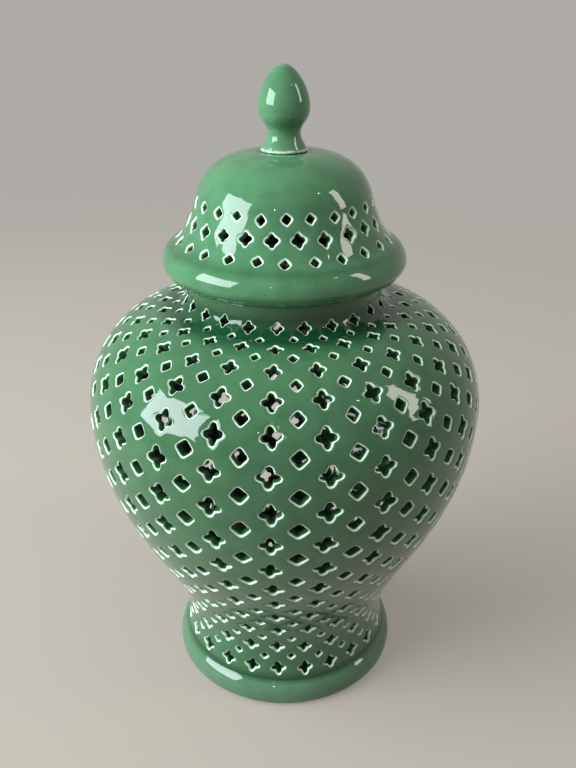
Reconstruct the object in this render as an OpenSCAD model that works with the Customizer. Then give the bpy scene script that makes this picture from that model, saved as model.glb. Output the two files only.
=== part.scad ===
// Pierced ginger jar: a slip-cast jar with a waisted foot, a domed lid and a bud knob.
// Millimetres. +Z is up. The origin is on the floor, on the jar's axis.

/* [Jar] */
// Outside radius at the belly, the widest part
belly_r = 110.9; // [100:0.1:122]
// Height of the belly above the underside of the foot
belly_z = 175.2; // [165:0.1:185]
// Outside radius at the waist, just above the foot
waist_r = 62.2; // [56:0.1:66]
// Height of the waist above the underside of the foot
waist_z = 31; // [27:0.1:35]
// Outside radius where the shoulder meets the neck
shoulder_r = 61.1; // [58:0.1:70]
// Height where the shoulder meets the neck
shoulder_z = 232.5; // [226:0.1:236]
// Outside radius of the neck
neck_r = 53; // [50:0.1:56]
// Height of the neck's straight part, from its turn up to the rim
neck_h = 6.5; // [4:0.1:16]
// Thickness of the jar's fired wall
wall = 5; // [4:0.1:6]

/* [Foot] */
// Outside radius of the foot
foot_r = 68.9; // [67:0.1:76]
// Height of the plain band round the foot
band_h = 15; // [12:0.1:18]
// How far the plain band stands out from the pierced wall
band_step = 0.8; // [0.3:0.1:1.5]
// Rounding of the foot's lower edge
foot_edge = 2; // [1:0.1:3]
// Width of the flat ring under the foot
ring_w = 9; // [8.5:0.1:12]
// Depth of the recess under the floor
recess_h = 3; // [1:0.1:4]
// Thickness of the jar's floor
floor_t = 6; // [4:0.1:8]

/* [Piercing] */
// Openings in each row, round the jar and round the lid
columns = 24; // [16:1:26]
// Rows of openings up the jar, quatrefoils and squares by turns
body_rows = 29; // [21:2:31]
// Length along the jar's outline from the underside of the foot to the lowest row
low_row = 25.2; // [24:0.1:28]
// Length along the jar's outline from the top row to the rim
top_row = 11.2; // [10:0.1:14]
// Width of a quatrefoil, as a share of its cell, at the belly
quatrefoil_share = 0.48; // [0.4:0.01:0.56]
// Width of a square across its corners, as a share of its cell, at the belly
square_share = 0.33; // [0.28:0.01:0.42]
// Turn of the jar's openings about its axis, in degrees
body_turn = -3.6; // [-7.5:0.1:7.5]
// Turn of the lid's openings about its axis, in degrees
lid_turn = -6.2; // [-7.5:0.1:7.5]
// Rows of openings round the lid, squares and quatrefoils by turns
lid_rows = 3; // [1:2:3]
// Height of the lid's lowest row above the brim's flare
lid_low_row = 2; // [1:0.1:4]
// Height from one row to the next on the lid
lid_row_step = 9.4; // [8:0.1:10]
// Width of the lid's quatrefoils
lid_quatrefoil_w = 7.2; // [5:0.1:9]
// Width of the lid's squares across their corners
lid_square_w = 5; // [4:0.1:7]

/* [Lid] */
// Outside radius of the lid's brim
brim_r = 65.6; // [63:0.1:72]
// Height of the brim's widest line above the lid's seat
brim_z = 9.6; // [8.5:0.1:12]
// Outside radius where the brim turns up into the dome
flare_r = 58; // [56:0.1:60]
// Height where the brim turns up into the dome
flare_z = 20.5; // [19:0.1:22]
// Outside radius of the dome, above its openings
dome_r = 46.2; // [44:0.1:48]
// Height of that part of the dome above the lid's seat
dome_z = 43.1; // [41:0.1:46]
// Height of the dome's flat top above the lid's seat
crown_z = 65.1; // [60:0.1:72]
// Thickness of the lid's fired wall
lid_wall = 5; // [4:0.1:5.5]
// How far the flat seat under the brim stands out past the neck
lip_over = 1.5; // [0.5:0.1:3]
// Gap between the lid's seat and the neck's rim
seat_gap = 0.3; // [0.1:0.1:0.5]

/* [Locating ring] */
// Gap between the locating ring and the bore of the neck
ring_gap = 1; // [0.5:0.1:2]
// Thickness of the locating ring
ring_t = 4.5; // [3:0.1:6]
// Depth of the locating ring below the lid's seat
ring_h = 10; // [6:0.1:16]

/* [Knob] */
// Radius of the knob's foot
knob_foot_r = 12.1; // [11:0.1:14]
// Radius of the knob's stem at its narrowest
knob_stem_r = 8.5; // [6:0.1:9.5]
// Height of the narrowest part above the knob's foot
knob_stem_z = 8.4; // [7:0.1:10]
// Radius of the bud at its widest
bud_r = 13.2; // [11:0.1:15]
// Height of the widest part above the knob's foot
bud_z = 21.6; // [19:0.1:24]
// Height of the knob
knob_h = 41.6; // [38:0.1:46]

/* [Foot pads] */
// Radius of a stick-on pad
pad_r = 4; // [3:0.1:4.2]
// Thickness of a stick-on pad
pad_h = 1.5; // [1:0.1:3]

/* [Hidden] */
pads = 4;
glaze = [0.22, 0.47, 0.33];
felt = [0.92, 0.92, 0.9];
// How much faster than their cells the quatrefoils and the squares shrink, away from the belly
quatrefoil_fade = 0.25;
square_fade = 1;
// How far the jar's rows crowd together at both ends, and how far they lean to the top
row_crowding = 0.139;
row_lean = 0.074;
// Rounding of the rim
rim_edge = 1.2;
// Height of the concave turn from the shoulder into the neck
neck_turn = 8.5;
// How far the jar's curves run straight on: up from the waist, down and up from the belly, out
// from the neck
waist_pull = 38;
belly_pull_down = 66;
belly_pull_up = 31;
shoulder_pull = 28;
// Fall of the shoulder's curve over that last length
shoulder_fall = 3;
// How far inwards a cutter goes past the wall's inner face, as a share of the wall, and how far
// outside the wall it starts
cutter_past = 0.35;
cutter_clear = 2;

turn_z = shoulder_z + neck_turn;
rim_z = turn_z + neck_h;
bore_r = neck_r - wall;
ring_r = bore_r - ring_gap;
lip_r = neck_r + lip_over;
crown_r = knob_foot_r + 1;
seat_z = pad_h + rim_z + seat_gap;
floor_z = recess_h + floor_t;
recess_r = foot_r - foot_edge - ring_w;

// Points of a cubic curve from a to d, pulled towards b and c, without its last point.
function bezier(a, b, c, d, steps) = [
    for (i = [0:steps - 1])
        let(t = i / steps, s = 1 - t)
            s * s * s * a + 3 * s * s * t * b + 3 * s * t * t * c + t * t * t * d
];

// Outlines are lists of [radius, height] that run up the outside, from the lowest point to the top.
body_outline = concat(
    [[foot_r - foot_edge, 0]],
    bezier(
        [foot_r - foot_edge / 2, 0], [foot_r, foot_edge / 2],
        [foot_r, foot_edge], [foot_r, 1.6 * foot_edge], 2),
    bezier(
        [foot_r, 1.6 * foot_edge], [foot_r, band_h / 2],
        [waist_r + band_step + 3, band_h - 3.5], [waist_r + band_step + 1, band_h], 3),
    bezier(
        [waist_r + 1, band_h + band_step], [waist_r + 0.3, band_h + band_step + 4],
        [waist_r, waist_z - 7], [waist_r, waist_z], 2),
    bezier(
        [waist_r, waist_z], [waist_r, waist_z + waist_pull],
        [belly_r, belly_z - belly_pull_down], [belly_r, belly_z], 10),
    bezier(
        [belly_r, belly_z], [belly_r, belly_z + belly_pull_up],
        [shoulder_r + shoulder_pull, shoulder_z - shoulder_fall], [shoulder_r, shoulder_z], 9),
    bezier(
        [shoulder_r, shoulder_z], [shoulder_r - 5, shoulder_z + 0.6],
        [neck_r, turn_z - neck_turn / 2], [neck_r, turn_z], 3),
    [[neck_r, turn_z], [neck_r, rim_z - rim_edge], [neck_r - rim_edge, rim_z]]
);

lid_outline = concat(
    [[ring_r - ring_t, 0]],
    bezier([lip_r, 0], [lip_r + 4, 0.5], [brim_r, brim_z / 2], [brim_r, brim_z], 4),
    bezier(
        [brim_r, brim_z], [brim_r, brim_z + 5],
        [flare_r + 4, flare_z - 1.8], [flare_r, flare_z], 4),
    bezier(
        [flare_r, flare_z], [flare_r - 5.2, flare_z + 2.4],
        [dome_r + 1.5, dome_z - 6.2], [dome_r, dome_z], 5),
    bezier(
        [dome_r, dome_z], [dome_r - 3.4, dome_z + 14],
        [crown_r + 18, crown_z], [crown_r, crown_z], 7),
    [[crown_r, crown_z], [0, crown_z]]
);

knob_outline = concat(
    [[0, 0], [knob_foot_r - 0.6, 0], [knob_foot_r, 0.5]],
    bezier(
        [knob_foot_r - 0.3, 1.2], [knob_stem_r + 0.8, 3.5],
        [knob_stem_r, knob_stem_z - 2], [knob_stem_r, knob_stem_z], 8),
    bezier(
        [knob_stem_r, knob_stem_z], [knob_stem_r, knob_stem_z + 5.5],
        [bud_r, bud_z - 7.5], [bud_r, bud_z], 10),
    bezier([bud_r, bud_z], [bud_r, bud_z + 9.5], [5.5, knob_h], [0, knob_h], 16),
    [[0, knob_h]]
);

// Direction of an outline at its point i, from that point's neighbours.
function heading(line, i) =
    let(v = line[min(len(line) - 1, i + 1)] - line[max(0, i - 1)]) v / norm(v);

// The outline moved in by d, from its top back down, without the points that fold over.
function moved_in(line, d) = [
    for (i = [len(line) - 1:-1:0])
        let(h = heading(line, i), p = line[i] + d * [-h[1], h[0]])
            if (min([for (q = line) norm(p - q)]) > 0.97 * d && p[0] > -0.01) p
];

// Lengths along an outline up to each of its points.
function lengths(line, i = 0, so_far = 0) =
    i == len(line) - 1
        ? [so_far]
        : concat([so_far], lengths(line, i + 1, so_far + norm(line[i + 1] - line[i])));

// The place at length s along an outline: its radius, its height and its lean from upright.
function place_at(line, s) =
    let(
        run = lengths(line),
        radii = [for (i = [0:len(line) - 1]) [run[i], line[i][0]]],
        heights = [for (i = [0:len(line) - 1]) [run[i], line[i][1]]],
        spread = lookup(s + 1, radii) - lookup(s - 1, radii),
        rise = lookup(s + 1, heights) - lookup(s - 1, heights)
    ) [lookup(s, radii), lookup(s, heights), atan2(spread, rise)];

// Length along an outline at which it first reaches height z.
function length_at(line, z) =
    let(run = lengths(line), i = min([for (j = [1:len(line) - 1]) if (line[j][1] >= z) j]))
        run[i] - (run[i] - run[i - 1]) * (line[i][1] - z) / (line[i][1] - line[i - 1][1]);

body_length = lengths(body_outline)[len(body_outline) - 1];
rows_length = body_length - low_row - top_row;
// Length along the jar's outline up to row k.
function row_length(k) =
    let(u = k / (body_rows - 1))
        low_row + rows_length * (u - row_crowding * sin(360 * u) / (2 * PI) + row_lean * u * (1 - u));

// Size of a cell of the pattern: the root of its width times its height, which is from one row of
// quatrefoils to the next.
function cell_size(r, h) = sqrt(2 * PI * r / columns * h);
belly_cell = cell_size(belly_r, 2 * rows_length / (body_rows - 1));

// An opening with four lobes, w wide.
module quatrefoil(w) {
    polygon([for (a = [0:45:315]) (a % 90 == 0 ? w / 2 : 0.3 * w) * [cos(a), sin(a)]]);
}

// A square opening that stands on its corner, w wide across its corners.
module square_on_corner(w) {
    rotate(45) square(w / sqrt(2), center = true);
}

// Cutters for one row of openings, square to the wall at place = [radius, height, lean].
module row_cutters(place, wall_t, w, lobed, turn) {
    for (c = [0:columns - 1])
        rotate(turn - 90 + 360 / columns * c)
            translate([place[0], 0, place[1]])
                rotate([0, 90 + place[2], 0])
                    translate([0, 0, -(1 + cutter_past) * wall_t])
                        linear_extrude((1 + cutter_past) * wall_t + cutter_clear)
                            if (lobed) quatrefoil(w); else square_on_corner(w);
}

// The jar in one cast piece: foot, pierced wall and neck round a hollow, and a floor.
module jar_body() {
    inside = [for (p = moved_in(body_outline, wall)) if (p[1] > floor_z + 1 && p[1] < turn_z - 1) p];
    color(glaze) translate([0, 0, pad_h]) difference() {
        rotate_extrude($fn = 96)
            polygon(concat(
                [[0, recess_h], [recess_r, recess_h], [recess_r, 0]],
                body_outline,
                [[bore_r + rim_edge, rim_z], [bore_r, rim_z - rim_edge], [bore_r, turn_z]],
                inside,
                [[inside[len(inside) - 1][0], floor_z], [0, floor_z]]
            ));
        for (k = [0:body_rows - 1]) {
            place = place_at(body_outline, row_length(k));
            cell = cell_size(place[0], row_length(k + 1) - row_length(k - 1));
            lobed = k % 2 == 0;
            share = lobed
                ? quatrefoil_share * pow(cell / belly_cell, quatrefoil_fade)
                : square_share * pow(cell / belly_cell, square_fade);
            row_cutters(
                place, wall, cell * share, lobed, body_turn + (lobed ? 0 : 180 / columns));
        }
    }
}

// The lid's dome and hollow brim, with a flat seat under it and a flat place for the knob.
module lid_shell() {
    color(glaze) translate([0, 0, seat_z]) difference() {
        rotate_extrude($fn = 96) polygon(concat(lid_outline, moved_in(lid_outline, lid_wall)));
        for (k = [0:lid_rows - 1]) {
            z = flare_z + lid_low_row + k * lid_row_step;
            lobed = k % 2 == 1;
            row_cutters(
                place_at(lid_outline, length_at(lid_outline, z)), lid_wall,
                lobed ? lid_quatrefoil_w : lid_square_w, lobed,
                lid_turn + (lobed ? 0 : 180 / columns));
        }
    }
}

// The ring under the lid that keeps it centred in the neck.
module lid_ring() {
    color(glaze) translate([0, 0, seat_z - ring_h]) difference() {
        cylinder(h = ring_h, r = ring_r, $fn = 96);
        translate([0, 0, -1]) cylinder(h = ring_h + 2, r = ring_r - ring_t, $fn = 96);
    }
}

// The bud knob, made apart and stuck on the dome's flat top.
module lid_knob() {
    color(glaze) translate([0, 0, seat_z + crown_z])
        rotate_extrude($fn = 64) polygon(knob_outline);
}

// Stick-on pad number i, under the foot's flat ring.
module pad(i) {
    color(felt) rotate(-90 + 360 / pads * (i - 1))
        translate([recess_r + ring_w / 2, 0, 0]) cylinder(h = pad_h, r = pad_r, $fn = 48);
}

jar_body();
lid_shell();
lid_ring();
lid_knob();
for (i = [1:pads]) pad(i);
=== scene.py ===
"""Pierced ginger jar: a glazed openwork jar with a domed lid and a bud knob.

The file is laid out as an add-on and run as a script. Shapes are worked out in millimetres as whole
numpy arrays and put into meshes in metres. +Z is up, -Y is the front.
"""

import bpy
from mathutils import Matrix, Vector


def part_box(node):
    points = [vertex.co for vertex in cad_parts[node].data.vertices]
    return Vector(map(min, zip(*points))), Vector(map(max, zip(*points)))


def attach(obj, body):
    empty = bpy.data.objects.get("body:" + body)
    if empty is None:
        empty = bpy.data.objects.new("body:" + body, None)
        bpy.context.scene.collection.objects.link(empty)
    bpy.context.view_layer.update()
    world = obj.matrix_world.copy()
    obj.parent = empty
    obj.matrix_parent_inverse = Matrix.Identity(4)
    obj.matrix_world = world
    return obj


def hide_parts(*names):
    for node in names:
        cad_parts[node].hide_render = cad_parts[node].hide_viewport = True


bl_info = {
    "name": "Pierced Ginger Jar",
    "version": (1, 0, 0),
    "blender": (4, 5, 0),
    "location": "View3D > Sidebar > Ginger Jar",
    "description": "Builds a glazed openwork ginger jar with its lid, knob and foot pads",
    "category": "Add Mesh",
}

import math

import bpy
import numpy as np
from mathutils import Vector

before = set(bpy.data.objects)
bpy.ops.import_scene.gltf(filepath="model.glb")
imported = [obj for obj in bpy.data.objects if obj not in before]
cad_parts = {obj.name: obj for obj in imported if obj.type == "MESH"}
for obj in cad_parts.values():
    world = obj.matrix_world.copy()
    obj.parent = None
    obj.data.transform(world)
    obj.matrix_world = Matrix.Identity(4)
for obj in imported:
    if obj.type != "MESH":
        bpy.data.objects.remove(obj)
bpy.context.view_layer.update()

MM = 0.001
SIDE = 6  # segments along each side of a cell of the pattern
RING_ROUND = 144  # points round the lid's locating ring
KNOB_ROUND = 96  # points round the knob
PAD_ROUND = 40  # points round a foot pad
FLOOR_ROUND = 96  # points round the floor
FLOOR_GAP = 0.2  # the floor lies this far under the pads, so that the two don't share a plane, in mm
FLOOR_RINGS = (400, 2000, 9000)  # radii of the floor's rings, in mm
FAR = 8.0  # written as the distance to the nearest opening where there is none, in mm
HALF_CHORD = 0.8  # an outline's heading is taken from this far before a place to this far after, in mm
TINY = 1e-6  # shorter than any length that counts, in mm


def height_mm(node, end):
    """Height of a node's underside (end 0) or top (end 1) above the floor, in mm."""
    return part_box(node)[end][2] / MM


def radius_mm(node):
    """Half a turned node's width, in mm."""
    low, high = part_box(node)
    return (high[1] - low[1]) / 2 / MM


FOOT_Z = height_mm("jar_body", 0)
SEAT_Z = height_mm("lid_shell", 0)
CROWN_Z = height_mm("lid_knob", 0)


# ------------------------------------------------------------------ sizes and colours


def length(name, description, mm):
    """A length property whose default is given in mm."""
    return bpy.props.FloatProperty(
        name=name, description=description, default=mm * MM, unit="LENGTH", precision=5
    )


def colour(name, description, rgb):
    """A linear colour property."""
    return bpy.props.FloatVectorProperty(
        name=name, description=description, default=rgb, size=3, subtype="COLOR", min=0, max=1
    )


class JarSizes(bpy.types.PropertyGroup):
    """Sizes of the jar, with heights above the underside of its foot."""

    foot_r: length("Foot radius", "Outside radius of the foot", 68.9)
    foot_edge: length("Foot edge", "Rounding of the foot's lower edge", 2)
    band_h: length("Band height", "Height of the plain band round the foot", 15)
    band_step: length("Band step", "How far the band stands out from the pierced wall", 0.8)
    ring_w: length("Foot ring", "Width of the flat ring under the foot", 9)
    recess_h: length("Recess", "Depth of the recess under the floor", 3)
    floor_t: length("Floor", "Thickness of the floor", 6)
    waist_r: length("Waist radius", "Outside radius of the waist", 62.2)
    waist_z: length("Waist height", "Height of the waist", 31)
    belly_r: length("Belly radius", "Outside radius of the belly", radius_mm("jar_body"))
    belly_z: length("Belly height", "Height of the belly", 175.2)
    shoulder_r: length("Shoulder radius", "Radius where the shoulder meets the neck", 61.1)
    shoulder_z: length("Shoulder height", "Height where the shoulder meets the neck", 232.5)
    neck_r: length("Neck radius", "Outside radius of the neck", 53)
    rim_z: length("Rim height", "Height of the neck's rim", height_mm("jar_body", 1) - FOOT_Z)
    wall: length("Wall", "Thickness of the wall", 5)


class PiercingSizes(bpy.types.PropertyGroup):
    """The openings, and how far the cutter's hand wanders."""

    columns: bpy.props.IntProperty(
        name="Columns", description="Openings in each row", default=24, min=12, max=40
    )
    rows: bpy.props.IntProperty(
        name="Rows", description="Rows of openings up the jar", default=29, min=3, max=41
    )
    low_row: length("Lowest row", "Length along the outline to the lowest row", 25.2)
    top_row: length("Top row", "Length along the outline from the top row to the rim", 11.2)
    quatrefoil_share: bpy.props.FloatProperty(
        name="Quatrefoils", description="Their width as a share of a cell, at the belly", default=0.48
    )
    square_share: bpy.props.FloatProperty(
        name="Squares", description="Their width as a share of a cell, at the belly", default=0.355
    )
    foot_grow: bpy.props.FloatProperty(
        name="Growth at the foot", description="Share that the lowest quatrefoils grow by", default=0.2
    )
    jar_turn: bpy.props.FloatProperty(
        name="Jar turn",
        description="Turn of the jar's openings about its axis",
        default=math.radians(-3.6),
        subtype="ANGLE",
    )
    lid_turn: bpy.props.FloatProperty(
        name="Lid turn",
        description="Turn of the lid's openings about its axis",
        default=math.radians(-6.2),
        subtype="ANGLE",
    )
    lid_first: length("Lid's first row", "Height of the lid's lowest row above its seat", 22.5)
    lid_step: length("Lid's row step", "Height from one row to the next on the lid", 9.4)
    lid_quatrefoil: length("Lid's quatrefoils", "Width of the lid's quatrefoils", 7.2)
    lid_square: length("Lid's squares", "Width of the lid's squares across corners", 5)
    wander: length("Wander", "Usual distance of an opening from its true place", 0.42)
    tilt: bpy.props.FloatProperty(
        name="Tilt",
        description="Usual turn of an opening in the wall",
        default=math.radians(5.5),
        subtype="ANGLE",
    )
    spread: bpy.props.FloatProperty(
        name="Spread", description="Usual change in an opening's size", default=0.045
    )
    seed: bpy.props.IntProperty(name="Seed", description="Seed of the cutter's hand", default=7)


class LidSizes(bpy.types.PropertyGroup):
    """Sizes of the lid, with heights above its seat."""

    lip_r: length("Seat radius", "Outside radius of the flat seat", 54.5)
    brim_r: length("Brim radius", "Outside radius of the brim", radius_mm("lid_shell"))
    brim_z: length("Brim height", "Height of the brim's widest line", 9.6)
    flare_r: length("Flare radius", "Radius where the brim turns up", 58)
    flare_z: length("Flare height", "Height where the brim turns up", 20.5)
    dome_r: length("Dome radius", "Radius of the dome above its openings", 46.2)
    dome_z: length("Dome height", "Height of that part of the dome", 43.1)
    crown_r: length("Crown radius", "Radius of the dome's flat top", 13.1)
    wall: length("Wall", "Thickness of the wall", 5)
    ring_r: length("Ring radius", "Outside radius of the locating ring", radius_mm("lid_ring"))
    ring_t: length("Ring thickness", "Thickness of the locating ring", 4.5)


class KnobSizes(bpy.types.PropertyGroup):
    """Sizes of the knob, with heights above its foot."""

    foot_r: length("Foot radius", "Radius of the knob's foot", 12.1)
    stem_r: length("Stem radius", "Radius of the stem at its narrowest", 8.5)
    stem_z: length("Stem height", "Height of the narrowest part", 8.4)
    bud_r: length("Bud radius", "Radius of the bud", radius_mm("lid_knob"))
    bud_z: length("Bud height", "Height of the widest part", 21.6)


class GlazeLook(bpy.types.PropertyGroup):
    """Colours of the glaze and of what shows beside it."""

    # one glaze in two copies: the lid's green is lighter, as painted light for the light that falls on the
    # lid and knob, and the jar's darker, as painted shade on the jar's body
    jar_shaded_green: colour("Jar's green", "Glaze of the jar at its usual thickness", (0.043, 0.134, 0.059))
    lid_lit_green: colour("Lid's green", "Glaze of the lid and knob, a little thinner", (0.063, 0.194, 0.089))
    # the dark colour serves both for glaze that lies thick and for painted shade inside the walls and on the
    # jar's neck
    pooled_and_shade: colour("Pooled", "Glaze where it lies thick", (0.004, 0.054, 0.017))
    pale: colour("Pale", "Glaze where it thins over an edge", (0.74, 0.93, 0.76))
    clay: colour("Clay", "Bare fired clay", (0.72, 0.69, 0.62))
    felt: colour("Felt", "Felt of the foot pads", (0.82, 0.82, 0.79))
    jar_line: length("Jar's pale line", "How far it reaches from the lips of the jar", 1.2)
    lid_line: length("Lid's pale line", "How far it reaches from the lips of the lid", 1.6)


class StudioLook(bpy.types.PropertyGroup):
    """Floor, background and lamps."""

    floor: colour("Floor", "Colour of the floor", (0.27, 0.235, 0.195))
    backdrop: colour("Backdrop", "Colour behind the floor, as it is seen", (0.425, 0.41, 0.385))
    sky: colour("Surroundings", "Colour of the soft surrounding light", (0.105, 0.11, 0.115))
    left_power: bpy.props.FloatProperty(
        name="Left window", description="Power of the cool window", default=30, unit="POWER"
    )
    fill_power: bpy.props.FloatProperty(
        name="Left fill", description="Power of the broad cool light", default=92, unit="POWER"
    )
    right_power: bpy.props.FloatProperty(
        name="Right window", description="Power of the warm window", default=5.5, unit="POWER"
    )
    top_power: bpy.props.FloatProperty(
        name="Ceiling", description="Power of the soft ceiling light", default=23, unit="POWER"
    )
    bulb_power: bpy.props.FloatProperty(
        name="Bulbs", description="Power of each small bulb", default=0.25, unit="POWER"
    )


# ------------------------------------------------------------------ outlines


def curve(a, b, c, d, steps=24):
    """Points of a cubic curve from a to d, pulled towards b and c: each point is the four given
    ones weighted by (1-t)^3, 3t(1-t)^2, 3t^2(1-t) and t^3, with t from 0 to 1."""
    t = np.linspace(0, 1, steps + 1)[:, None]
    a, b, c, d = (np.array(p, float) for p in (a, b, c, d))
    return (1 - t) ** 3 * a + 3 * t * (1 - t) ** 2 * b + 3 * t * t * (1 - t) * c + t**3 * d


def rounded(a, corner, b, steps=4):
    """Points of a parabola from a to b that is pulled towards the corner between them."""
    t = np.linspace(0, 1, steps + 1)[:, None]
    a, c, b = (np.array(p, float) for p in (a, corner, b))
    return (1 - t) ** 2 * a + 2 * t * (1 - t) * c + t * t * b


def circle(count):
    """Angles spaced evenly round the axis: a full turn times i / count."""
    return np.linspace(0, 2 * math.pi, count, endpoint=False)


def joined(*parts):
    """One outline from several, without points that repeat."""
    line = np.vstack([np.atleast_2d(np.array(p, float)) for p in parts])
    return line[np.r_[True, np.hypot(*np.diff(line, axis=0).T) > TINY]]


class Wall:
    """A turned wall. Its outside runs along an outline of [radius, height] points from the lowest
    to the top, and a place on it is an angle and a length along the outline."""

    def __init__(self, line, thickness, lift):
        self.line = line + [0, lift]
        self.run = np.r_[0, np.cumsum(np.hypot(*np.diff(line, axis=0).T))]
        self.thickness = thickness
        self.lift = lift

    def at(self, s):
        """Radius and height at length s, straight between the outline's points."""
        return np.interp(s, self.run, self.line[:, 0]), np.interp(s, self.run, self.line[:, 1])

    def under(self, s, depth):
        """Radius and height at a depth below the surface: the outline's heading over a short
        chord at s, turned a quarter outwards, gives the direction that the depth is taken off."""
        (r0, z0), (r1, z1) = self.at(s - HALF_CHORD), self.at(s + HALF_CHORD)
        (r, z), chord = self.at(s), np.hypot(r1 - r0, z1 - z0)
        return r - depth * (z1 - z0) / chord, z - depth * (r0 - r1) / chord

    def place(self, angle, s, depth=0.0):
        """Points in space: (radius cos angle, radius sin angle, height)."""
        r, z = self.under(s, depth)
        return np.stack(np.broadcast_arrays(r * np.cos(angle), r * np.sin(angle), z), -1)

    def length_at(self, z):
        """Length along the outline at which it first reaches height z above its lowest point."""
        i = int(np.argmax(self.line[:, 1] >= z + self.lift))
        (_, z0), (_, z1) = self.line[i - 1], self.line[i]
        share = (z + self.lift - z0) / (z1 - z0)
        return self.run[i - 1] + share * (self.run[i] - self.run[i - 1])


# ------------------------------------------------------------------ meshes


class Shape:
    """A mesh in the making: points in mm with three values each, and faces.

    The values are the distance to the nearest opening's lip, how far the glaze has thinned (1) or darkened
    (-1), where the darkening is thick glaze in hollows and painted shade inside the pierced walls and on the
    jar's neck, and how bare the clay is (1)."""

    VALUES = ("lip", "thin", "bare")

    def __init__(self):
        self.points, self.values, self.faces, self.count = [], [], [], 0

    def add(self, points, lip=FAR, thin=0.0, bare=0.0):
        """Adds points of any array shape, and returns their numbers in that shape."""
        shape = points.shape[:-1]
        values = [np.broadcast_to(v, shape) for v in (lip, thin, bare)]
        self.points.append(points.reshape(-1, 3))
        self.values.append(np.stack(values, -1).reshape(-1, 3))
        first = self.count
        self.count += len(self.points[-1])
        return np.arange(first, self.count).reshape(shape)

    def band(self, a, b):
        """Quads between closed rings a and b. Seen from the side that they face, b lies to the
        left of a's direction."""
        quads = np.stack([a, np.roll(a, -1, -1), np.roll(b, -1, -1), b], -1)
        self.faces += quads.reshape(-1, 4).tolist()

    def fan(self, ring, pole):
        """Triangles from a closed ring to one point."""
        corners = np.stack([ring, np.roll(ring, -1), np.full_like(ring, pole)], -1)
        self.faces += corners.tolist()

    def turn_on(self, ring, angle, profile, thin=0.0, bare=0.0, flip=False):
        """Carries a ring on along [radius, height] points at the same angles, and returns the last
        ring. A last point on the axis closes the shape. flip faces the band the other way."""
        thin, bare = (np.broadcast_to(v, len(profile)) for v in (thin, bare))
        for (r, z), t, b in zip(profile, thin, bare):
            if r < TINY:
                pole = self.add(np.array([[0.0, 0.0, z]]), thin=t, bare=b)[0]
                self.fan(ring[::-1] if flip else ring, pole)
                return None
            points = np.stack([r * np.cos(angle), r * np.sin(angle), np.full(len(angle), z)], -1)
            after = self.add(points, thin=t, bare=b)
            if ring is not None:
                self.band(*((after, ring) if flip else (ring, after)))
            ring = after
        return ring

    def turn_from_axis(self, angle, profile, thin=0.0, start_thin=0.0, up=False):
        """Turns a whole profile, and closes its start with a flat fan round the axis that faces
        down, or up."""
        pole = self.add(np.array([[0.0, 0.0, profile[0][1]]]), thin=start_thin)[0]
        self.turn_on(None, angle, profile, thin)
        first = np.arange(pole + 1, pole + 1 + len(angle))
        self.fan(first if up else first[::-1], pole)

    def build(self, name, sharp=50):
        """The finished object, smooth but for edges sharper than the angle in degrees, with its
        values as point attributes."""
        mesh = bpy.data.meshes.new(name)
        mesh.from_pydata((np.vstack(self.points) * MM).tolist(), [], self.faces)
        for i, value in enumerate(self.VALUES):
            layer = mesh.attributes.new(value, "FLOAT", "POINT")
            layer.data.foreach_set("value", np.vstack(self.values)[:, i].astype(np.float32))
        mesh.polygons.foreach_set("use_smooth", np.ones(len(mesh.polygons), bool))
        mesh.set_sharp_from_angle(angle=math.radians(sharp))
        if mesh.validate():
            raise RuntimeError(f"{name} had broken faces")
        obj = bpy.data.objects.new(name, mesh)
        bpy.context.scene.collection.objects.link(obj)
        # wide faces set the shading of the corners that they share with narrow ones
        even = obj.modifiers.new("even_shading", "WEIGHTED_NORMAL")
        even.keep_sharp = True
        return obj


# Rings round a wide opening: distance from its lip, depth below the wall's surface, and the value
# written as the distance to the palest line, all in mm. A narrow opening has smaller ones.
QUATREFOIL_RINGS = ((2.4, 0.12, 2.4), (1.1, 0.26, 1.1), (0.4, 0.58, 0.3))
SQUARE_RINGS = ((2.0, 0.12, 2.0), (0.6, 0.44, 0.4))
LIP_DEPTH = 1.15  # depth at which a wide opening's rounded lip ends, in mm
WIDE = 11.0  # the width from which an opening counts as wide, in mm
LEAST_LIP = 0.55  # a narrow opening's rings have at least this share of a wide one's distances
MOST_REACH = 0.8  # the widest ring takes at most this share of the way to the cell's side
TAPER = 0.25  # how far each side of an opening comes in on its way through the wall, in mm
INSIDE_SHADE = -0.8  # painted shade: the inside of a pierced wall is darkened towards the dark glaze colour, for the shade inside the jar and lid

# The most that the cutter's hand strays: place in mm, turn in radians, and share of the size
MOST_WANDER, MOST_TILT, MOST_SPREAD = 0.8, 0.2, 0.08


def quatrefoil(angle, lobes):
    """Radius of an opening of unit half-width: a constant and cosines of 4 and 8 times the angle
    give four rounded lobes, and it is mixed with a square where lobes is under 1."""
    full = 0.810 + 0.208 * np.cos(4 * angle) - 0.018 * np.cos(8 * angle)
    return lobes * full + (1 - lobes) * square(angle)


def square(angle):
    """Radius of a unit square that stands on its corner: 1.115 over the sum of the sizes of sine
    and cosine, capped at 1, which rounds the corners."""
    return np.minimum(1, 1.115 / (np.abs(np.cos(angle)) + np.abs(np.sin(angle))))


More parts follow.
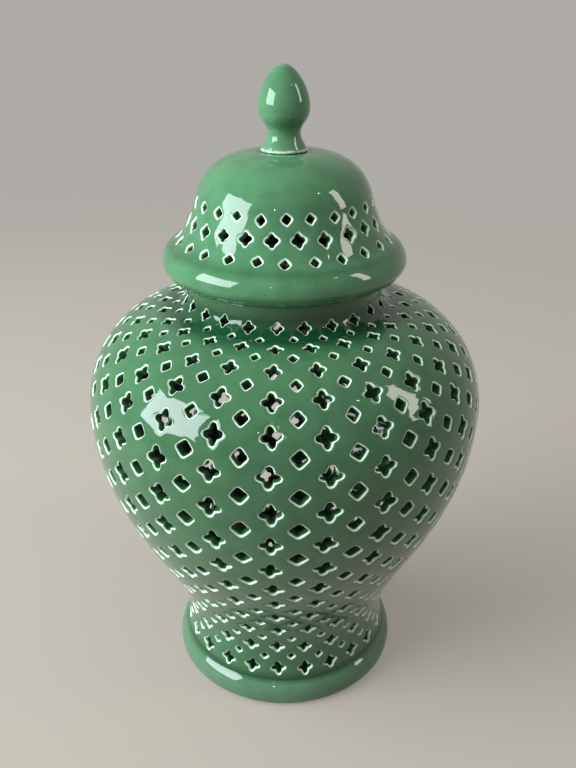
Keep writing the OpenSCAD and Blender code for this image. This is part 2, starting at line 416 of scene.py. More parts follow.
class Lattice:
    """Whole numbers x round the axis and y up the wall, with SIDE steps to half a column and to a
    row, for openings that stand in rows and change places by half a column from row to row.

    The lowest row of openings has y = 0. Each opening sits in a rhombus whose corners lie on the
    rows above and below it and half a column to each side, so that neighbours share their points.
    A point's number is (y + SIDE) times the steps round the axis, plus x within one turn."""

    def __init__(self, lobed, columns):
        self.rows, self.columns = len(lobed), columns
        self.around = 2 * SIDE * columns
        k, c = np.meshgrid(np.arange(self.rows), np.arange(columns), indexing="ij")
        self.row = k.ravel()
        self.x = 2 * SIDE * c.ravel() + np.where(lobed[self.row], 0, SIDE)
        self.y = SIDE * self.row
        j = np.arange(SIDE)
        self.dx = np.r_[SIDE - j, -j, j - SIDE, j]
        self.dy = np.r_[j, SIDE - j, -j, j - SIDE]

    def number(self, x, y):
        """Numbers of the points at x and y."""
        return (y + SIDE) * self.around + x % self.around

    def place(self, number):
        """The x and y of numbered points."""
        y, x = np.divmod(number, self.around)
        return x, y - SIDE

    def cells(self):
        """The points round each opening's rhombus, counted anticlockwise as seen from outside."""
        return self.number(self.x[:, None] + self.dx, self.y[:, None] + self.dy)

    def ends(self):
        """For the lowest and the top row, the x of its openings, the y of the edge beyond it, and
        the way from that edge to the row."""
        return [
            (self.x[self.row == 0], -SIDE, 1),
            (self.x[self.row == self.rows - 1], self.rows * SIDE, -1),
        ]

    def fills(self):
        """Corners of the small triangles that fill the zigzag between each end row and its edge."""
        up, along = np.meshgrid(np.arange(SIDE + 1), np.arange(SIDE + 1), indexing="ij")
        at = [(a, m) for a in range(SIDE) for m in range(SIDE - a)]
        small = [((a, m), (a, m + 1), (a + 1, m)) for a, m in at]
        small += [((a, m + 1), (a + 1, m + 1), (a + 1, m)) for a, m in at if m < SIDE - a - 1]
        corners = []
        for x, edge_y, way in self.ends():
            points = self.number(x[:, None, None] + up + 2 * along, edge_y + way * up)
            a, m = np.moveaxis(np.array(small)[:, ::way], -1, 0)
            corners.append(points[:, a, m].reshape(-1, 3))
        return np.vstack(corners)


def pierced(shape, wall, levels, lobed, widths, lobes, sill, turn, hand, sizes, darkening_along):
    """Adds a pierced wall to a shape, and returns its open rings, outside and inside, lowest and
    top, with their angles.

    Rings of points lead from each opening's rhombus down over the soft lip, through the wall and
    out to the same rhombus inside. A ring's points lie on straight lines from the lip to the
    rhombus, at the ring's distance from the lip.

    levels are the lengths along the outline of the lower edge, the rows and the upper edge. sill is the value
    at each row's lips, and a lower one carries the pale line further into the opening, which on the jar's
    lowest rows is painted light on their sills.
    The last argument is (lengths, values) of how the glaze has thinned or darkened along the outline, read
    straight between the given lengths; on the jar's neck the darkening is painted shade under the lid's brim.
    hand draws the random numbers."""
    net = Lattice(lobed, sizes.columns)
    unit, start = 2 * math.pi / net.around, turn - math.pi / 2

    def length_of(y):
        """Length along the outline at lattice height y, straight between the levels."""
        return np.interp(y / SIDE, np.arange(-1, net.rows + 1), levels)

    cells, fills = net.cells(), net.fills()
    used = np.unique(np.r_[cells.ravel(), fills.ravel()])
    x, y = net.place(used)
    angle, s = start + x * unit, length_of(y)
    outer = shape.add(wall.place(angle, s), thin=np.interp(s, *darkening_along))
    # the inside of the wall takes the painted shade
    inner = shape.add(wall.place(angle, s, wall.thickness), thin=INSIDE_SHADE)
    cells, fills = np.searchsorted(used, cells), np.searchsorted(used, fills)
    shape.faces += outer[fills].tolist() + inner[fills][:, ::-1].tolist()

    centre_a, centre_s = start + net.x * unit, length_of(net.y)
    side_a = net.dx * unit * wall.at(centre_s)[0][:, None]
    side_s = length_of(net.y[:, None] + net.dy) - centre_s[:, None]
    edge = np.stack([side_a, side_s], -1)
    count = len(net.row)
    off = hand.normal(0, sizes.wander / MM, (count, 1, 2)).clip(-MOST_WANDER, MOST_WANDER)
    tilt = hand.normal(0, sizes.tilt, (count, 1)).clip(-MOST_TILT, MOST_TILT)
    grow = 1 + hand.normal(0, sizes.spread, (count, 1, 2)).clip(-MOST_SPREAD, MOST_SPREAD)
    phi = circle(4 * SIDE)
    for kind, form, rings in ((True, quatrefoil, QUATREFOIL_RINGS), (False, square, SQUARE_RINGS)):
        mine = lobed[net.row] == kind
        row = net.row[mine]
        reach = form(phi, lobes[row, None]) if kind else form(phi)[None]
        reach = reach * widths[row, None] / 2
        lip = np.stack([np.cos(phi + tilt[mine]), np.sin(phi + tilt[mine])], -1)
        lip = lip * reach[..., None] * grow[mine] + off[mine]
        gap = edge[mine] - lip
        room = np.linalg.norm(gap, axis=-1)
        narrow = (widths[row, None] / WIDE).clip(LEAST_LIP, 1)
        scale = np.minimum(narrow, MOST_REACH * room / rings[0][0])

        def ring(distance, depth, value):
            """Points from the lips by distance times the scale, and under the surface by depth."""
            at = lip + gap * (distance * scale / room)[..., None]
            s = centre_s[mine, None] + at[..., 1]
            angle = centre_a[mine, None] + at[..., 0] / wall.at(s)[0]
            return shape.add(wall.place(angle, s, depth), lip=value, thin=np.interp(s, *darkening_along))

        steps = [(d, depth * scale, value * scale / np.sqrt(narrow)) for d, depth, value in rings]
        # the swell between openings flattens out where they stand close
        steps[0] = (steps[0][0], steps[0][1] * scale**2, steps[0][2])
        # at the lip: the row's sill value, lower on the jar's lowest rows as painted light on their sills
        steps.append((0.0, LIP_DEPTH * scale, sill[row, None]))
        steps.append((-TAPER, wall.thickness, wall.thickness))
        before = outer[cells[mine]]
        for step in steps:
            after = ring(*step)
            shape.band(before, after)
            before = after
        shape.band(before, inner[cells[mine]])

    ends = []
    for first_x, edge_y, _ in net.ends():
        x = first_x[0] + 2 * np.arange(SIDE * net.columns)
        at = np.searchsorted(used, net.number(x, edge_y))
        ends.append((outer[at], inner[at], start + x * unit))
    return ends


def jar_outline(jar):
    """The jar's outside from under the foot to the rim, in cubic curves from one size to the next.
    What is added to a size pulls a curve, in mm."""
    foot, edge, band, waist = jar.foot_r / MM, jar.foot_edge / MM, jar.band_h / MM, jar.waist_r / MM
    step, waist_z, belly, belly_z = jar.band_step / MM, jar.waist_z / MM, jar.belly_r / MM, jar.belly_z / MM
    shoulder, shoulder_z, neck = jar.shoulder_r / MM, jar.shoulder_z / MM, jar.neck_r / MM
    upright_z, rim = shoulder_z + 8.5, jar.rim_z / MM
    return joined(
        (foot - edge, 0),
        # lower edge
        curve((foot - edge / 2, 0), (foot, edge / 2), (foot, edge), (foot, 1.6 * edge), 6),
        # swell of the foot band
        curve(
            (foot, 1.6 * edge), (foot, band / 2), (waist + step + 4.6, band - 4.6),
            (waist + step + 2.4, band - 2.6), 12,
        ),
        # groove above it
        curve(
            (waist + step + 2.4, band - 2.6), (waist + step + 1.0, band - 1.3),
            (waist + 1.2, band + 0.2), (waist + 0.9, band + 2.6), 9,
        ),
        # up to the waist
        curve(
            (waist + 0.9, band + 2.6), (waist + 0.5, band + step + 5.2),
            (waist, waist_z - 7), (waist, waist_z),
        ),
        # waist to belly, belly to shoulder
        curve((waist, waist_z), (waist, waist_z + 38), (belly, belly_z - 66), (belly, belly_z), 80),
        curve(
            (belly, belly_z), (belly, belly_z + 31), (shoulder + 28, shoulder_z - 3),
            (shoulder, shoulder_z), 80,
        ),
        # turn into the upright neck, and the chamfer of its rim
        curve(
            (shoulder, shoulder_z), (shoulder - 5, shoulder_z + 0.6), (neck, upright_z - 4.25),
            (neck, upright_z),
        ),
        (neck, rim - 1.2),
        (neck - 1.2, rim),
    )


def lid_outline(lid):
    """The lid's outside from the edge of its seat, round the brim and over the dome, in cubic
    curves as the jar's."""
    lip, brim, brim_z, flare = lid.lip_r / MM, lid.brim_r / MM, lid.brim_z / MM, lid.flare_r / MM
    flare_z, dome, dome_z, crown = lid.flare_z / MM, lid.dome_r / MM, lid.dome_z / MM, lid.crown_r / MM
    top = CROWN_Z - SEAT_Z
    return joined(
        # under the brim, and over it
        curve((lip, 0), (lip + 4, 0.5), (brim, brim_z / 2), (brim, brim_z)),
        curve((brim, brim_z), (brim, brim_z + 5), (flare + 4, flare_z - 1.8), (flare, flare_z)),
        # up the dome, and in to its flat top
        curve((flare, flare_z), (flare - 5.2, flare_z + 2.4), (dome + 1.5, dome_z - 6.2), (dome, dome_z), 40),
        curve((dome, dome_z), (dome - 3.4, dome_z + 14), (crown + 18, top), (crown, top), 40),
    )


# ------------------------------------------------------------------ parts of the jar

# The rows' spacing: SWAY draws them together at both ends, and RISE opens them out at the foot and
# draws them together at the top
ROW_SWAY, ROW_RISE = 0.139, 0.074
PATTERN_UP = 0.9  # the pattern begins this far above the height of the foot band, in mm
PATTERN_DOWN = 6.0  # and ends this far along the outline from the rim, in mm
QUATREFOIL_POWER = 0.25  # how quickly a quatrefoil's share of its cell falls in smaller cells
FOOT_ROWS = 8  # rows over which the quatrefoils' growth at the foot dies out
TOP_LOBES = 0.8  # the top row's quatrefoils are this much lobed, and otherwise square
JAR_LIP_AND_SILL_LIGHT = (-0.3, 0.8)  # value at the lips of the lowest row, and from the belly up; the lower value is painted light, which carries the pale line further over the lowest rows' sills where light falls on them
LID_ROWS = 3  # a row of quatrefoils between two of squares
LID_SILL = 0.6  # value at the lips of the lid
LID_LOBES = 0.5  # how much lobed the lid's quatrefoils are
LID_EDGE = 7.0  # the lid's pattern ends this far beyond its end rows, in mm
BRIM_STEPS, DOME_STEPS = 16, 12  # rings over the brim, and from the pattern to the dome's flat top


def row_lengths(low, top, count):
    """Lengths along the outline of the rows, and of one row more at each end. A row at u, which is
    0 at the lowest and 1 at the top, lies at the share u - SWAY sin(2 pi u) / (2 pi)
    + RISE u (1 - u) of the way."""
    u = np.arange(-1, count + 1) / (count - 1)
    share = u - ROW_SWAY * np.sin(2 * math.pi * u) / (2 * math.pi) + ROW_RISE * u * (1 - u)
    return low + (top - low) * share


def opening_widths(cut, cell, size, lobed):
    """Widths of the rows' openings: each row's cell times a share. size is the cell's size beside
    one at the belly, and a square's share follows it. A quatrefoil's follows a low power of it, and
    grows evenly down the lowest rows."""
    foot = np.clip(1 - np.arange(len(cell)) / FOOT_ROWS, 0, 1)
    quatrefoils = cut.quatrefoil_share * size**QUATREFOIL_POWER * (1 + cut.foot_grow * foot)
    return cell * np.where(lobed, quatrefoils, cut.square_share * size)


def foot_profile(jar, wall, groove):
    """Foot band, flat ring and recess, down from the groove to the axis, with how the glaze has
    thinned and how bare the clay is at each point."""
    s = np.r_[groove - (0.7, 1.4, 2.2, 3.2), np.linspace(groove - 4.4, wall.run[1], 9), 0]
    band = [*zip(*wall.at(s))]
    ring_in = (jar.foot_r - jar.foot_edge - jar.ring_w) / MM
    roof = FOOT_Z + jar.recess_h / MM
    under = [
        (ring_in + 0.6, FOOT_Z), (ring_in, FOOT_Z + 0.6), (ring_in, roof - 1.2),
        (ring_in - 1.2, roof), (ring_in / 2, roof), (0, roof),
    ]
    thin = [-1.0, -0.9, -0.4, 0.0] + [0.15] * (len(s) - 5) + [0.6, 0.3, 0.3, -0.6, -0.6, 0, 0]
    bare = [0.0] * (len(s) - 1) + [1.0, 1.0, 0.9, 0, 0, 0, 0]
    return band + under, thin, bare


def bottom_profile(jar, wall, groove):
    """Inside of the wall from the groove down to the floor, and in to the axis, with how the glaze
    has thinned."""
    floor = FOOT_Z + (jar.recess_h + jar.floor_t) / MM
    r, _ = wall.under(groove, wall.thickness)
    corner = rounded((r, floor + 3), (r, floor), (r - 3.5, floor))
    level = [(r * share, floor) for share in (0.6, 0.25, 0)]
    return [*map(tuple, corner), *level], [-0.3] * len(corner) + [0] * len(level)


def rim_profile(jar, wall):
    """Neck's upper end, over the rounded rim and into the bore, with how the glaze has thinned; the outside
    just below the rim starts darkened, as painted shade under the lid's brim.
    """
    neck, rim = jar.neck_r / MM, jar.rim_z / MM + FOOT_Z
    bore = neck - wall.thickness
    over = np.vstack([
        [(neck, rim - 2.2)],
        rounded((neck, rim - 1.4), (neck, rim), (neck - 1.4, rim)),
        rounded((bore + 1.4, rim), (bore, rim), (bore, rim - 1.4)),
    ])
    return over, [-0.4, -0.2, 0, 0.3, 0.5, 0.5, 0.5, 0.8, 1, 0.9, 0.4]


# ------------------------------------------------------------------ materials

# How fine the patterns are, in patches to the metre
DRIFT, RIPPLE, CLOUD, UNEVEN, GRAIN, FLECK, FIBRE, TONE = 14, 55, 90, 260, 420, 900, 1600, 1.2
LIGHTER = 1.22  # the lightest drift of the green beside the darkest
FLOOR_LIFT = 0.45  # how strongly the backdrop's colour is added to the floor where that is seen
FLOOR_FADE = (0.35, 1.5)  # from where to where the floor runs over into the backdrop, in m


class Nodes:
    """The node tree of a material or a world, with short ways to add nodes and links."""

    def __init__(self, owner, shader="Principled BSDF"):
        self.owner = owner
        owner.use_nodes = True
        self.tree = owner.node_tree
        self.shader = self.tree.nodes[shader]

    @property
    def where(self):
        """Place on the object's own coordinates."""
        node = self.tree.nodes.get("place") or self.add("ShaderNodeTexCoord", name="place")
        return node.outputs["Object"]

    def add(self, kind, inputs=(), **settings):
        """Adds a node. Inputs are given by name or number, as a value or as a socket to link."""
        node = self.tree.nodes.new(kind)
        for key, value in settings.items():
            setattr(node, key, value)
        for key, value in dict(inputs).items():
            self.put(node, key, value)
        return node

    def put(self, node, key, value):
        """Sets an input of a node, or links a socket to it."""
        if isinstance(value, bpy.types.NodeSocket):
            self.tree.links.new(value, node.inputs[key])
        else:
            node.inputs[key].default_value = value

    def noise(self, scale, detail=2.0, roughness=0.5, distortion=0.0):
        """Smooth noise on the object's own coordinates, about 0.5 on average."""
        inputs = {
            "Vector": self.where, "Scale": scale, "Detail": detail,
            "Roughness": roughness, "Distortion": distortion,
        }
        return self.add("ShaderNodeTexNoise", inputs).outputs["Fac"]

    def attribute(self, name):
        """A point attribute of the piece."""
        return self.add("ShaderNodeAttribute", attribute_name=name).outputs["Fac"]

    def reckon(self, operation, *values):
        """A Math node."""
        return self.add("ShaderNodeMath", dict(enumerate(values)), operation=operation).outputs[0]

    def ramp(self, value, low, high, to_low=0.0, to_high=1.0):
        """value from low..high to to_low..to_high, smoothly and held at both ends."""
        inputs = {
            "Value": value, "From Min": low, "From Max": high, "To Min": to_low, "To Max": to_high,
        }
        node = self.add("ShaderNodeMapRange", inputs, interpolation_type="SMOOTHSTEP")
        return node.outputs["Result"]

    def mix(self, share, a, b):
        """Colour a where share is 0 and b where it is 1. A Mix node takes colours at 6 and 7."""
        a, b = ((*v, 1.0) if not isinstance(v, bpy.types.NodeSocket) else v for v in (a, b))
        node = self.add("ShaderNodeMix", data_type="RGBA")
        for key, value in ((0, share), (6, a), (7, b)):
            self.put(node, key, value)
        return node.outputs[2]

    def bump(self, height, strength, distance):
        """A Bump node."""
        inputs = {"Height": height, "Strength": strength, "Distance": distance}
        return self.add("ShaderNodeBump", inputs).outputs["Normal"]

    def seen(self):
        """1 for a ray from the camera, off a glossy surface or through a clear one, and 0 for one
        that lights a dull surface: the largest of the three answers."""
        path = self.add("ShaderNodeLightPath").outputs
        other = self.reckon("MAXIMUM", path["Is Glossy Ray"], path["Is Transmission Ray"])
        return self.reckon("MAXIMUM", path["Is Camera Ray"], other)

    def finish(self, **inputs):
        """Sets the shader's inputs, whose names have underscores for spaces."""
        for key, value in inputs.items():
            self.put(self.shader, key.replace("_", " "), value)
        return self.owner


def glaze_material(name, look, green, reach):
    """Clear green glaze over pale clay: it thins to a pale line along lips and edges, pools darker in
    hollows, drifts a little in tone, and leaves the standing surfaces bare. The same darkening is used as
    painted shade inside the pierced walls and on the jar's neck, and the pale line that reaches further over
    the jar's lowest sills is painted light."""
    n = Nodes(bpy.data.materials.new(name))
    lip, thin, bare = (n.attribute(v) for v in Shape.VALUES)
    # the green drifts and clouds over a little, deepens where the glaze lies thick and where shade is
    # painted, and thins as it has run
    lighter = tuple(v * LIGHTER for v in green)
    body = n.mix(n.ramp(n.noise(DRIFT, 3), 0.32, 0.68), green[:], lighter)
    body = n.mix(n.ramp(n.noise(CLOUD, 2), 0.35, 0.75, 0.0, 0.25), body, look.pooled_and_shade[:])
    # thick glaze and painted shade: darker towards the dark colour where the thin value is below 0
    body = n.mix(n.ramp(thin, -1.0, 0.0, 0.95, 0.0), body, look.pooled_and_shade[:])
    body = n.mix(n.ramp(thin, 0.0, 0.2, 0.0, 0.06), body, look.pale[:])
    # pale line along the lips and on edges, of uneven width, full to a quarter of its reach
    uneven = n.reckon("MULTIPLY_ADD", n.noise(UNEVEN, 2), 0.7, -0.35)
    line = n.ramp(n.reckon("ADD", lip, uneven), 0.25 * reach / MM, reach / MM, 1.0, 0.0)
    edge = n.ramp(n.reckon("ADD", thin, uneven), 0.35, 1.0)
    body = n.mix(n.reckon("MAXIMUM", line, edge), body, look.pale[:])
    # dark flecks, and clay where there is no glaze
    body = n.mix(n.ramp(n.noise(FLECK, 1), 0.70, 0.76, 0.0, 0.5), body, look.pooled_and_shade[:])
    body = n.mix(n.ramp(bare, 0.4, 0.6), body, look.clay[:])
    surface = n.reckon("MULTIPLY_ADD", n.noise(GRAIN, 2), 0.04, n.noise(RIPPLE, 1))
    return n.finish(
        Base_Color=body,
        Roughness=n.ramp(bare, 0.4, 0.6, 0.05, 0.75),
        Normal=n.bump(surface, 0.25, 0.0012),
        Coat_Weight=0.25,
        Coat_Roughness=0.03,
    )


def felt_material(name, look):
    """Dense white felt: short fibres, with painted shade that makes it a little grey where the fibre bump
    lies low.
    """
    n = Nodes(bpy.data.materials.new(name))
    fibres = n.noise(FIBRE, 4, 0.7, 1.5)
    # painted shade: darker where the fibres' bump is low
    body = n.mix(n.ramp(fibres, 0.3, 0.7), tuple(v * 0.8 for v in look.felt), look.felt[:])
    return n.finish(
        Base_Color=body, Roughness=0.95, Sheen_Weight=0.3, Normal=n.bump(fibres, 0.6, 0.0004)
    )


def floor_material(look):
    """Plain pale floor with a faint tone. Where it is seen or mirrored, it is lifted a little, and
    far from the jar it runs over into the even colour of the backdrop."""
    n = Nodes(bpy.data.materials.new("studio_floor"))
    tone = n.ramp(n.noise(TONE, 2), 0.3, 0.7)
    body = n.mix(tone, look.floor[:], tuple(v * 0.97 for v in look.floor))
    seen = n.seen()
    n.finish(
        Base_Color=body,
        Roughness=0.7,
        Specular_IOR_Level=0.25,
        Emission_Color=(*look.backdrop, 1),
        Emission_Strength=n.reckon("MULTIPLY", seen, FLOOR_LIFT),
    )
    away = n.add("ShaderNodeVectorMath", {0: n.where}, operation="LENGTH").outputs["Value"]
    share = n.reckon("MULTIPLY", seen, n.ramp(away, *FLOOR_FADE))
    backdrop = n.add("ShaderNodeEmission", {"Color": (*look.backdrop, 1)})
    both = n.add(
        "ShaderNodeMixShader", {0: share, 1: n.shader.outputs[0], 2: backdrop.outputs[0]}
    )
    n.put(n.tree.nodes["Material Output"], "Surface", both.outputs[0])
    return n.owner


# ------------------------------------------------------------------ operators


def dress(obj, material, body, slot, *nodes):
    """Gives a piece its material, hangs it on its body and hides the CAD nodes that it stands for."""
    obj.data.materials.append(material)
    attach(obj, body)
    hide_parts(*nodes)


def finish_glazed(shape, name, finish, body, slot, node, sharp=50):
    """Builds a glazed piece, and dresses it in the glaze of its body."""
    look = bpy.context.scene.jar_glaze
    on_jar = body == "jar"
    # the lid, ring and knob take the lit copy of the green, the jar the shaded one
    green, reach = (look.jar_shaded_green, look.jar_line) if on_jar else (look.lid_lit_green, look.lid_line)
    dress(shape.build(name, sharp), glaze_material(finish, look, green, reach), body, slot, node)


class JAR_OT_body(bpy.types.Operator):
    """Jar in one piece: foot, pierced wall, neck and floor"""

    bl_idname = "ginger_jar.body"
    bl_label = "Jar body"

    def execute(self, context):
        scene = context.scene
        jar, cut = scene.jar_sizes, scene.jar_piercing
        wall = Wall(jar_outline(jar), jar.wall / MM, FOOT_Z)
        rim_s = wall.run[-1]
        low, top = cut.low_row / MM, rim_s - cut.top_row / MM
        rows = row_lengths(low, top, cut.rows)
        tall, rows = rows[2:] - rows[:-2], rows[1:-1]
        groove = wall.length_at(jar.band_h / MM + PATTERN_UP)
        levels = np.r_[groove, rows, rim_s - PATTERN_DOWN]
        lobed = np.arange(cut.rows) % 2 == 0
        wide = 2 * math.pi / cut.columns
        cell = np.sqrt(wide * wall.at(rows)[0] * tall)
        belly = np.sqrt(wide * jar.belly_r / MM * 2 * (top - low) / (cut.rows - 1))
        widths = opening_widths(cut, cell, cell / belly, lobed)
        # painted light: the lowest rows' lips get a lower value, so that the pale line reaches further over
        # their lit sills
        sill = np.interp(rows, (rows[0], wall.length_at(jar.belly_z / MM)), JAR_LIP_AND_SILL_LIGHT)
        lobes = np.ones(cut.rows)
        lobes[-1] = TOP_LOBES
        # darker in the groove above the foot band; painted shade on the neck, from its hollow up to near the
        # rim, where the lid's brim shades it; back to the plain green just under the rim
        neck = wall.length_at(jar.shoulder_z / MM)
        darkening_along = (
            (groove, groove + 5, neck - 12, neck, rim_s - 8, rim_s - 2),
            (-0.7, 0.0, 0.0, -0.9, -1.0, 0.0),
        )
        shape = Shape()
        hand = np.random.default_rng(cut.seed)
        (low_out, low_in, low_a), (top_out, top_in, top_a) = pierced(
            shape, wall, levels, lobed, widths, lobes, sill, cut.jar_turn, hand, cut, darkening_along
        )
        shape.turn_on(low_out, low_a, *foot_profile(jar, wall, groove), flip=True)
        shape.turn_on(low_in, low_a, *bottom_profile(jar, wall, groove))
        shape.band(shape.turn_on(top_out, top_a, *rim_profile(jar, wall)), top_in)
        finish_glazed(shape, "jar_glazed", "jar_glaze_look", "jar", "jar_glaze", "jar_body")
        return {"FINISHED"}


class JAR_OT_lid(bpy.types.Operator):
    """Lid in one piece: seat, hollow brim and pierced dome"""

    bl_idname = "ginger_jar.lid"
    bl_label = "Lid"

    def execute(self, context):
        scene = context.scene
        lid, cut = scene.jar_lid, scene.jar_piercing
        wall = Wall(lid_outline(lid), lid.wall / MM, SEAT_Z)
        heights = (cut.lid_first + cut.lid_step * np.arange(LID_ROWS)) / MM
        rows = np.array([wall.length_at(h) for h in heights])
        levels = np.r_[rows[0] - LID_EDGE, rows, rows[-1] + LID_EDGE]
        lobed = np.arange(LID_ROWS) % 2 == 1
        widths = np.where(lobed, cut.lid_quatrefoil, cut.lid_square) / MM
        shape = Shape()
        hand = np.random.default_rng(cut.seed + 1)
        darkening_along = (levels[:3], (-0.5, -0.2, 0.0))
        lobes, sill = np.full(LID_ROWS, LID_LOBES), np.full(LID_ROWS, LID_SILL)
        (low_out, low_in, low_a), (top_out, top_in, top_a) = pierced(
            shape, wall, levels, lobed, widths, lobes, sill, cut.lid_turn, hand, cut, darkening_along
        )
        # brim, seat and the hollow inside the brim
        s = np.linspace(levels[0], 0.0, BRIM_STEPS + 1)[1:]
        outside = [*zip(*wall.at(s))]
        thin = np.interp(s, (0, levels[0] - 6, levels[0]), (-0.3, 0, -0.5))
        inner_r, inner_z = (lid.ring_r - lid.ring_t) / MM, SEAT_Z + wall.thickness
        seat = [(inner_r, SEAT_Z), (inner_r, inner_z)]
        back = [p for p in zip(*wall.under(s[::-1], wall.thickness)) if p[1] > inner_z + 0.2]
        inside = [0.0] * len(back)
        bare = [0.0] * (len(outside) - 1) + [1.0, 1.0, 0.0] + inside
        profile, thin = outside + seat + back, [*thin, 0.0, 0.0] + inside
        last = shape.turn_on(low_out, low_a, profile, thin, bare, flip=True)
        shape.band(low_in, last)
        # dome and its inside, up to the axis
        s = np.linspace(levels[-1], wall.run[-1], DOME_STEPS + 1)[1:]
        crown = wall.line[-1]
        dome = [*zip(*wall.at(s)), (crown[0] * 0.5, crown[1]), (0, crown[1])]
        shape.turn_on(top_out, top_a, dome, [0.0] * (len(s) - 1) + [-0.7, -0.7, 0])
        r, h = wall.under(s, wall.thickness)
        roof = crown[1] - wall.thickness
        under = [*zip(r[:-1], h[:-1]), (crown[0], roof), (crown[0] * 0.5, roof), (0, roof)]
        shape.turn_on(top_in, top_a, under, flip=True)
        finish_glazed(shape, "lid_glazed", "lid_glaze_look", "lid", "lid_glaze", "lid_shell")
        return {"FINISHED"}


class JAR_OT_lid_ring(bpy.types.Operator):
    """Ring under the lid that keeps it centred in the neck"""

    bl_idname = "ginger_jar.lid_ring"
    bl_label = "Locating ring"

    def execute(self, context):
        lid = context.scene.jar_lid
        out, ins = lid.ring_r / MM, (lid.ring_r - lid.ring_t) / MM
        low, top = height_mm("lid_ring", 0), height_mm("lid_ring", 1)
        profile = np.vstack([
            [(ins, top), (ins, low + 4)],
            rounded((ins, low + 1.6), (ins, low), (ins + 1.6, low)),
            rounded((out - 1.6, low), (out, low), (out, low + 1.6)),
            [(out, low + 4), (out, top)],
        ])
        # thick against the lid, thin on both rounded edges
        edge = [-0.6, 0, 0.2, 0.6, 0.9, 0.7, 0.5, 0.5, 0.7, 0.9, 0.6, 0.2, 0, -0.6]
        shape = Shape()
        last = shape.turn_on(None, circle(RING_ROUND), profile, edge)
        shape.band(last, np.arange(RING_ROUND))
        finish_glazed(shape, "lid_ring_glazed", "ring_glaze_look", "lid", "lid_glaze", "lid_ring")
        return {"FINISHED"}


class JAR_OT_knob(bpy.types.Operator):
    """Bud knob, made apart and stuck on the dome"""

    bl_idname = "ginger_jar.knob"
    bl_label = "Knob"

    def execute(self, context):
        knob = context.scene.jar_knob
        foot, stem, stem_z = knob.foot_r / MM, knob.stem_r / MM, knob.stem_z / MM
        bud, bud_z, top = knob.bud_r / MM, knob.bud_z / MM, height_mm("lid_knob", 1) - CROWN_Z
        line = joined(
            (foot * 0.5, 0),
            rounded((foot - 0.5, 0), (foot, 0), (foot, 0.5), 3),
            rounded((foot, 0.6), (foot, 1.1), (foot - 0.6, 1.5), 3),
            curve((foot - 0.6, 1.5), (stem + 1.9, 4), (stem + 0.2, stem_z - 2.4), (stem, stem_z), 12),
            curve((stem, stem_z), (stem, stem_z + 5.5), (bud, bud_z - 7.5), (bud, bud_z), 20),
            curve((bud, bud_z), (bud, bud_z + 9.5), (5.5, top), (0, top), 30),
        )
        # pale at the joint with the dome, and a little at the tip
        thin = np.interp(line[:, 1], (0, 0.5, 1.3, 2.2, top - 1.5, top), (0.3, 0.6, 0.72, 0.1, 0, 0.4))
        shape = Shape()
        shape.turn_from_axis(circle(KNOB_ROUND), line + [0, CROWN_Z], thin, 0.5)
        finish_glazed(shape, "knob_glazed", "knob_glaze_look", "lid", "knob_glaze", "lid_knob", 70)
        return {"FINISHED"}


class JAR_OT_pads(bpy.types.Operator):
    """Round felt pads under the foot"""

    bl_idname = "ginger_jar.pads"
    bl_label = "Foot pads"

    def execute(self, context):
        look = felt_material("pad_felt_look", context.scene.jar_glaze)
        for node in sorted(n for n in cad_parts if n.startswith("pad_")):
            low, high = (np.array(v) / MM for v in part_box(node))
            centre, r, h = (low + high) / 2, (high[0] - low[0]) / 2, high[2] - low[2]
            line = np.vstack([
                [(r * 0.5, 0)],
                rounded((r - 0.5, 0), (r, 0), (r, 0.5), 3),
                rounded((r, h - 0.35), (r, h), (r - 0.35, h), 3),
                [(r * 0.5, h), (0, h)],
            ])
            shape = Shape()
            shape.turn_from_axis(circle(PAD_ROUND), line)
            shape.points = [p + [centre[0], centre[1], low[2]] for p in shape.points]
            dress(shape.build(f"{node}_felt"), look, "jar", "pad_felt", node)
        return {"FINISHED"}


def aim(obj, where, target):
    """Puts a lamp somewhere, turned to a target."""
    obj.location = where
    obj.rotation_euler = (Vector(target) - Vector(where)).to_track_quat("-Z", "Y").to_euler()


def from_front(azimuth, elevation, distance, centre):
    """A place at a distance from a centre, with azimuth in degrees from the front towards +X."""
    a, e = math.radians(azimuth), math.radians(elevation)
    way = Vector((math.sin(a) * math.cos(e), -math.cos(a) * math.cos(e), math.sin(e)))
    return Vector(centre) + way * distance


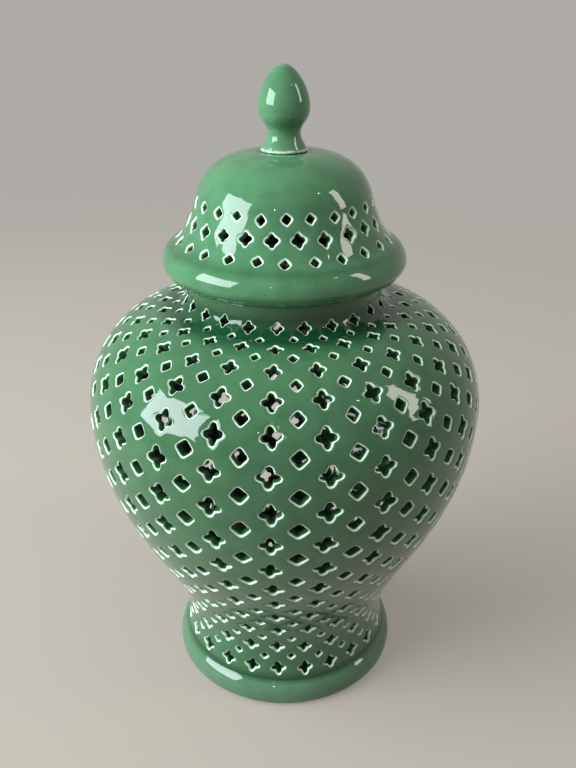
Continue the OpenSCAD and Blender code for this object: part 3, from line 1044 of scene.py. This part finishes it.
class JAR_OT_studio(bpy.types.Operator):
    """Pale floor, two windows, soft light and camera"""

    bl_idname = "ginger_jar.studio"
    bl_label = "Studio"

    LENS, SENSOR = 38.44, 36  # in mm
    EYE = (0.0020, -0.4290, 0.3889)
    LOOK_DOWN = 25.75  # degrees below level
    MIDDLE = (0, 0, 0.2)  # what the lamps are turned to
    LAMPS = (
        # name, azimuth, elevation, distance, width, height, power, colour, mirrored in the glaze
        ("left_window", -66, 22, 1.7, 1.15, 0.85, "left_power", (0.86, 0.94, 1.0), True),
        ("left_fill", -84, 26, 2.4, 2.6, 2.2, "fill_power", (0.88, 0.96, 1.0), False),
        ("right_window", 80, 28, 1.7, 0.28, 0.95, "right_power", (1.0, 0.93, 0.82), True),
        ("ceiling", 0, 80, 2.2, 2.4, 2.4, "top_power", (1.0, 0.98, 0.94), False),
        ("right_bulb", 58, 48, 1.9, 0.05, 0.05, "bulb_power", (1.0, 0.97, 0.9), True),
        ("front_bulb", -12, 25, 1.9, 0.04, 0.04, "bulb_power", (1.0, 0.97, 0.9), True),
    )

    def execute(self, context):
        scene, look = context.scene, context.scene.jar_studio
        shape = Shape()
        shape.turn_from_axis(circle(FLOOR_ROUND), [(r, -FLOOR_GAP) for r in FLOOR_RINGS], up=True)
        floor = shape.build("studio_floor")
        floor.data.materials.append(floor_material(look))
        for name, azimuth, elevation, distance, wide, tall, power, tint, mirrored in self.LAMPS:
            lamp = bpy.data.lights.new(name, "AREA")
            lamp.shape, lamp.size, lamp.size_y = "RECTANGLE", wide, tall
            lamp.energy, lamp.color = getattr(look, power), tint
            obj = bpy.data.objects.new(name, lamp)
            scene.collection.objects.link(obj)
            obj.visible_glossy = mirrored
            aim(obj, from_front(azimuth, elevation, distance, self.MIDDLE), self.MIDDLE)
        n = Nodes(bpy.data.worlds.new("studio"), "Background")
        scene.world = n.finish(Color=n.mix(n.seen(), look.sky[:], look.backdrop[:]))
        camera = bpy.data.cameras.new("camera")
        camera.lens, camera.sensor_width = self.LENS, self.SENSOR
        camera.dof.use_dof = False
        eye = bpy.data.objects.new("camera", camera)
        eye.location = self.EYE
        eye.rotation_euler = (math.radians(90 - self.LOOK_DOWN), 0, 0)
        scene.collection.objects.link(eye)
        scene.camera = eye
        scene.view_settings.view_transform = "Standard"
        return {"FINISHED"}


PIECES = (JAR_OT_body, JAR_OT_lid, JAR_OT_lid_ring, JAR_OT_knob, JAR_OT_pads, JAR_OT_studio)


class JAR_PT_panel(bpy.types.Panel):
    """Sidebar panel with the pieces and their sizes"""

    bl_label = "Ginger Jar"
    bl_idname = "JAR_PT_panel"
    bl_space_type = "VIEW_3D"
    bl_region_type = "UI"
    bl_category = "Ginger Jar"

    def draw(self, context):
        for piece in PIECES:
            self.layout.operator(piece.bl_idname)
        for name, group in GROUPS.items():
            box = self.layout.box()
            box.label(text=group.__doc__)
            for key in group.__annotations__:
                box.prop(getattr(context.scene, name), key)


GROUPS = {
    "jar_sizes": JarSizes,
    "jar_piercing": PiercingSizes,
    "jar_lid": LidSizes,
    "jar_knob": KnobSizes,
    "jar_glaze": GlazeLook,
    "jar_studio": StudioLook,
}


def register():
    """Adds the property groups, operators and panel."""
    for cls in (*GROUPS.values(), *PIECES, JAR_PT_panel):
        bpy.utils.register_class(cls)
    for name, group in GROUPS.items():
        setattr(bpy.types.Scene, name, bpy.props.PointerProperty(type=group))


def unregister():
    """Takes them away again."""
    for name in GROUPS:
        delattr(bpy.types.Scene, name)
    for cls in reversed((*GROUPS.values(), *PIECES, JAR_PT_panel)):
        bpy.utils.unregister_class(cls)


def main():
    """Registers the add-on and builds everything."""
    register()
    for piece in PIECES:
        _, name = piece.bl_idname.split(".")
        getattr(bpy.ops.ginger_jar, name)()


if __name__ == "__main__":
    main()
